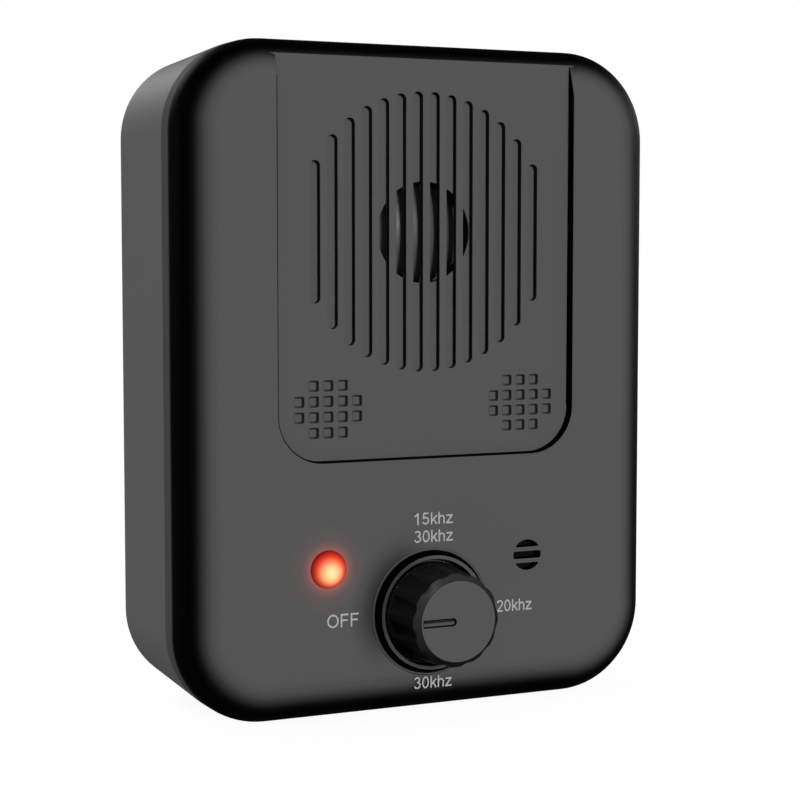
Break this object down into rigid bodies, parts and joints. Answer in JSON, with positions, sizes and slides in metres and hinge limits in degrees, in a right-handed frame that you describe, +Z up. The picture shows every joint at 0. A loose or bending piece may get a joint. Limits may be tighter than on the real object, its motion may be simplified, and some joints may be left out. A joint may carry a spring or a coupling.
{
  "type": "ultrasonic pest repeller",
  "caption": "Upright dark grey box with a grooved speaker panel, a rotary mode knob in a collar, a red status lamp, a listening port and a side charging port under a rubber flap.",
  "frame": {"origin": "middle of the flat base under the case, halfway along its depth", "axes": "+Z up, -Y towards the front face with the knob, +X towards the wall with the charging port"},
  "size_m": [0.1017, 0.0544, 0.13],
  "materials": {
    "case_front": "fine matte dark grey",
    "case_rear": "fine matte dark grey",
    "knob_plastic": "fine matte dark grey",
    "lamp_red": "lit red lens",
    "lamp_body": "diffused",
    "soft_rubber": "matte black",
    "foam": "black foam",
    "acoustic_cloth": "black mesh cloth",
    "foam_tape": "white foam",
    "board_green": "solder mask",
    "chip_black": "moulded epoxy",
    "ferrite": "sintered",
    "capacitor_sleeve": "shrink sleeve",
    "ceramic_tan": "sintered",
    "connector_white": "moulded nylon",
    "wire_red": "PVC insulation",
    "cell_sleeve": "shrink sleeve",
    "black_plastic": "moulded",
    "switch_blue": "moulded",
    "dome_metal": "satin",
    "ceramic_white": "sintered",
    "brass": "bright",
    "steel": "satin nickel plate"
  },
  "bodies": {
    "case": {"front_cover": "case_front", "rear_housing": "case_rear", "case_seal": "soft_rubber", "case_screws": "steel", "speaker_gasket": "foam", "speaker_frame": "black_plastic", "speaker_dome": "dome_metal", "dome_coupler": "ceramic_white", "piezo_disc": "brass", "piezo_ceramic": "ceramic_white", "speaker_back_cap": "black_plastic", "speaker_terminals": "brass", "speaker_screws": "steel", "speaker_leads": "wire_red", "main_board": "board_green", "board_screws": "steel", "controller_chip": "chip_black", "driver_chips": "chip_black", "boost_inductor": "ferrite", "storage_capacitor": "capacitor_sleeve", "small_components": "ceramic_tan", "speaker_connector": "connector_white", "battery_connector": "connector_white", "led_lens": "lamp_red", "led_emitter": "lamp_body", "led_leads": "steel", "microphone_mesh": "acoustic_cloth", "microphone_boot": "soft_rubber", "microphone_capsule": "steel", "microphone_leads": "steel", "switch_bushing": "steel", "switch_housing": "switch_blue", "switch_pins": "brass", "switch_washer": "steel", "switch_nut": "steel", "battery_cell": "cell_sleeve", "battery_holder": "black_plastic", "battery_tape": "foam_tape", "battery_contacts": "steel", "battery_leads": "wire_red", "charge_socket": "steel", "port_anchor": "soft_rubber"},
    "dial": {"knob": "knob_plastic", "knob_clip": "steel", "switch_shaft": "steel", "switch_rotor": "brass"},
    "flap": {"port_flap": "soft_rubber"}
  },
  "joints": [
    {"name": "knob_turn", "type": "hinge", "parent": "case", "child": "dial", "pos_m": [0, -0.021, 0.0199], "axis": [0, 1, 0], "range_deg": [0, 270]},
    {"name": "port_flap_open", "type": "hinge", "parent": "case", "child": "flap", "pos_m": [0.05115, -0.004, 0.028], "axis": [0, 1, 0], "range_deg": [0, 105]}
  ]
}
